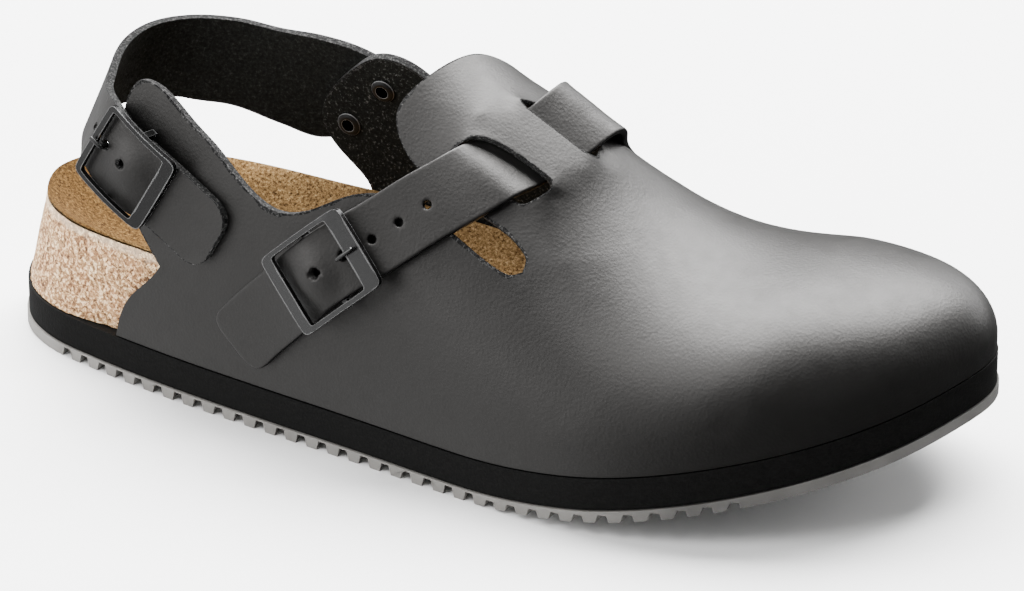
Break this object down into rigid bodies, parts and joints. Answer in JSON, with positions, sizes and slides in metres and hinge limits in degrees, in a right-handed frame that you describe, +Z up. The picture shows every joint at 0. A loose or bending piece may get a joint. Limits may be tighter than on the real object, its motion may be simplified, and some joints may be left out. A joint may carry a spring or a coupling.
{
  "type": "chef clog",
  "caption": "Right-foot leather clog with a closed rounded toe, buckled instep strap under a bridge, buckled heel strap, cork footbed and grooved rubber sole.",
  "frame": {"origin": "on the floor under the middle of the clog's length and width", "axes": "+X from heel to toe, +Y towards the medial (inner) side of the foot, +Z up"},
  "size_m": [0.285, 0.1058, 0.1035],
  "materials": {
    "outsole": "matt light grey",
    "midsole": "matt black foam",
    "footbed": "raw cork granules",
    "insole_lining": "tan suede",
    "upper": "smooth black, soft sheen",
    "strap": "smooth black, suede inside",
    "buckle": "satin black",
    "rivet": "satin black"
  },
  "bodies": {
    "root": {"outsole": "outsole", "midsole": "midsole", "footbed": "footbed", "insole_lining": "insole_lining", "upper": "upper", "instep_strap": "strap", "heel_strap": "strap", "instep_buckle": "buckle", "instep_prong": "buckle", "heel_buckle": "buckle", "heel_prong": "buckle", "front_rivet": "rivet", "rear_rivet": "rivet"}
  },
  "joints": []
}
